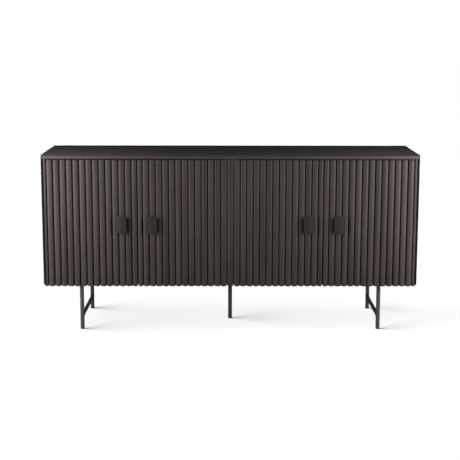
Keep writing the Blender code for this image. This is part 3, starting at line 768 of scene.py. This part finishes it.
def make_mounting():
    """The bars over the end legs and all the screws that hold the base."""
    for side in ("left", "right"):
        node = f"mounting_bar_{side}"
        low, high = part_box(node)
        shape = bmesh.new()
        add_block(shape, low, high, BAR_EDGE)
        piece(f"{node}_plate", mesh_from(shape), BASE_METAL, "carcass", (node,))
        shape = bmesh.new()
        middle_x = (low.x + high.x) / 2
        for share in BAR_SCREW_SHARES:
            y = low.y + (high.y - low.y) * share
            for offset in (-BAR_SCREW_OFFSET, BAR_SCREW_OFFSET):
                add_screw(shape, (middle_x + offset, y, low.z), (0, 0, -1))
        piece(f"bar_screws_{side}", mesh_from(shape), DARK_STEEL, "carcass")
    low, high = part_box("leg_centre")
    centre = (low + high) / 2
    shape = bmesh.new()
    for step in range(3):
        angle = math.tau * (step + 0.25) / 3
        x = centre.x + FLANGE_SCREW_CIRCLE * math.cos(angle)
        y = centre.y + FLANGE_SCREW_CIRCLE * math.sin(angle)
        add_screw(shape, (x, y, high.z - FLANGE_THICKNESS), (0, 0, -1))
    piece("flange_screws", mesh_from(shape), DARK_STEEL, "carcass")


# ---------------------------------------------------------------- hardware
def make_hardware():
    """Finishes for the pivot hardware, with its screws, and the catches with their magnets."""
    for number in range(1, 5):
        frame["nodes"][f"pivot_bush_{number}"].data.materials[0] = NYLON
        for node in (f"pivot_pin_top_{number}", f"pivot_pin_bottom_{number}"):
            frame["nodes"][node].data.materials[0] = DARK_STEEL
        node = f"strike_plate_{number}"
        low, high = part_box(node)
        shape = bmesh.new()
        add_block(shape, low, high, STRIKE_EDGE)
        piece(f"{node}_plate", mesh_from(shape), STEEL, f"door_{number}", (node,))
    screws = bmesh.new()
    for name in ("left", "centre", "right"):
        node = f"pivot_bracket_{name}"
        frame["nodes"][node].data.materials[0] = DARK_STEEL
        low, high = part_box(node)
        for share_x in BRACKET_SCREW_SHARES:
            for back in BRACKET_SCREW_SETBACKS:
                spot = (low.x + (high.x - low.x) * share_x, high.y - back, low.z)
                add_screw(screws, spot, (0, 0, -1), BRACKET_SCREW_RADIUS)
    piece("bracket_screws", mesh_from(screws), DARK_STEEL, "carcass")
    for side in ("left", "right"):
        node = f"magnetic_catch_{side}"
        low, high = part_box(node)
        shape = bmesh.new()
        add_block(shape, low, high, CATCH_EDGE, 3)
        piece(f"{node}_case", mesh_from(shape), NYLON, "carcass", (node,))
        poles = bmesh.new()
        middle_x = (low.x + high.x) / 2
        for offset in (-MAGNET_OFFSET, MAGNET_OFFSET):
            for rise in MAGNET_RISES:
                corner = Vector((middle_x + offset - MAGNET_HALF, low.y - MAGNET_PROUD, low.z + rise))
                add_block(poles, corner, corner + Vector(MAGNET_SIZE), MAGNET_EDGE)
        piece(f"magnet_poles_{side}", mesh_from(poles), MAGNET, "carcass")


# ---------------------------------------------------------------- studio
def for_camera(tree, seen, unseen):
    """A shader that shows one look behind the object and lights the object with another, dimmer one."""
    ray = tree.nodes.new("ShaderNodeLightPath")
    mix = tree.nodes.new("ShaderNodeMixShader")
    tree.links.new(ray.outputs["Is Camera Ray"], mix.inputs["Fac"])
    tree.links.new(unseen, mix.inputs[1])
    tree.links.new(seen, mix.inputs[2])
    return mix.outputs["Shader"]


def make_floor():
    """A pale plain floor that runs out of sight, and bounces only a little light back."""
    shape = bmesh.new()
    bmesh.ops.create_grid(shape, x_segments=1, y_segments=1, size=FLOOR_SIZE)
    mesh = mesh_from(shape)
    floor = bpy.data.objects.new("floor", mesh)
    bpy.context.scene.collection.objects.link(floor)
    floor.location.z = -FLOOR_DROP
    material, tree, shader = new_material("pale_floor")
    cloud = stretched_noise(tree, (0.6, 0.6, 0.6), detail=2.0)
    colour = colour_between(tree, remap(tree, cloud, 0.0, 1.0), (0.90, 0.90, 0.90), (0.93, 0.93, 0.93))
    tree.links.new(colour, shader.inputs["Base Color"])
    shader.inputs["Roughness"].default_value = 0.9
    shader.inputs["Specular IOR Level"].default_value = 0.0
    dim = tree.nodes.new("ShaderNodeBsdfDiffuse")
    dim.inputs["Color"].default_value = (FLOOR_BOUNCE, FLOOR_BOUNCE, FLOOR_BOUNCE, 1.0)
    surface = for_camera(tree, shader.outputs["BSDF"], dim.outputs["BSDF"])
    tree.links.new(surface, tree.nodes["Material Output"].inputs["Surface"])
    mesh.materials.append(material)
    return floor


def make_world():
    """An even dim surround, which shows as white behind the floor."""
    world = bpy.data.worlds.new("studio")
    bpy.context.scene.world = world
    world.use_nodes = True
    tree = world.node_tree
    surround = tree.nodes["Background"]
    surround.inputs["Color"].default_value = (1.0, 1.0, 1.0, 1.0)
    surround.inputs["Strength"].default_value = SURROUND
    seen = tree.nodes.new("ShaderNodeBackground")
    seen.inputs["Color"].default_value = (1.0, 1.0, 1.0, 1.0)
    seen.inputs["Strength"].default_value = BACKDROP
    surface = for_camera(tree, seen.outputs["Background"], surround.outputs["Background"])
    tree.links.new(surface, tree.nodes["World Output"].inputs["Surface"])


def area_light(name, place, aim, size, power):
    """A soft rectangular light that faces a point."""
    data = bpy.data.lights.new(name, "AREA")
    data.shape = "RECTANGLE"
    data.size, data.size_y = size
    data.energy = power
    light = bpy.data.objects.new(name, data)
    bpy.context.scene.collection.objects.link(light)
    light.location = place
    light.rotation_euler = (Vector(aim) - Vector(place)).to_track_quat("-Z", "Y").to_euler()
    return light


def linked_collection(name, objects):
    """A collection of objects that a light is tied to."""
    collection = bpy.data.collections.new(name)
    for thing in objects:
        collection.objects.link(thing)
    return collection


def make_lights(floor):
    """A tall softbox beyond each end, a fill behind, and a low sun that lights the floor alone."""
    shown = [thing for thing in bpy.data.objects if thing.type == "MESH" and thing != floor]
    pieces = linked_collection("all_pieces", shown)
    below_top = linked_collection("all_but_the_top", [thing for thing in shown if thing.name != "top_board"])
    for name, side, power in (("left", -1, LEFT_SOFTBOX_POWER), ("right", 1, RIGHT_SOFTBOX_POWER)):
        place = (side * SOFTBOX_PLACE[0], *SOFTBOX_PLACE[1:])
        aim = (side * SOFTBOX_AIM[0], *SOFTBOX_AIM[1:])
        softbox = area_light(f"{name}_softbox", place, aim, SOFTBOX_SIZE, power)
        softbox.data.color = SOFTBOX_COLOUR
        softbox.light_linking.receiver_collection = pieces
    fill = area_light("rear_fill", REAR_PLACE, REAR_AIM, REAR_SIZE, REAR_POWER)
    fill.light_linking.receiver_collection = below_top

    data = bpy.data.lights.new("floor_sun", "SUN")
    data.energy = FLOOR_SUN
    data.angle = math.radians(FLOOR_SUN_WIDTH)
    sun = bpy.data.objects.new("floor_sun", data)
    bpy.context.scene.collection.objects.link(sun)
    sun.rotation_euler = (0.0, math.radians(FLOOR_SUN_TILT), math.radians(FLOOR_SUN_TURN))
    sun.light_linking.receiver_collection = linked_collection("floor_only", [floor])
    legs = [thing for thing in shown if thing.name.startswith(("tube_leg", "foot_"))]
    sun.light_linking.blocker_collection = linked_collection("legs_only", legs)
    floor_fill = area_light(
        "right_floor_fill", FLOOR_FILL_PLACE, FLOOR_FILL_AIM, FLOOR_FILL_SIZE, FLOOR_FILL_POWER
    )
    floor_fill.light_linking.receiver_collection = sun.light_linking.receiver_collection
    floor_fill.light_linking.blocker_collection = sun.light_linking.blocker_collection


def make_camera():
    """The camera, in front of the middle and a little above the top."""
    data = bpy.data.cameras.new("camera")
    data.lens = CAMERA_LENS
    data.sensor_width = SENSOR_WIDTH
    camera = bpy.data.objects.new("camera", data)
    bpy.context.scene.collection.objects.link(camera)
    level = Euler((math.radians(CAMERA_TILT), 0.0, math.radians(CAMERA_TURN))).to_matrix()
    roll = Matrix.Rotation(math.radians(CAMERA_ROLL), 3, "Z")
    camera.location = CAMERA_PLACE
    camera.rotation_euler = (level @ roll).to_euler()
    bpy.context.scene.camera = camera


make_top()
make_sides()
make_inner_boards()
make_post()
for hinge in frame["joints"]:
    make_door(hinge)
make_pulls()
make_legs()
make_stretchers()
make_mounting()
make_hardware()
make_world()
make_lights(make_floor())
make_camera()
bpy.context.scene.view_settings.view_transform = "Standard"
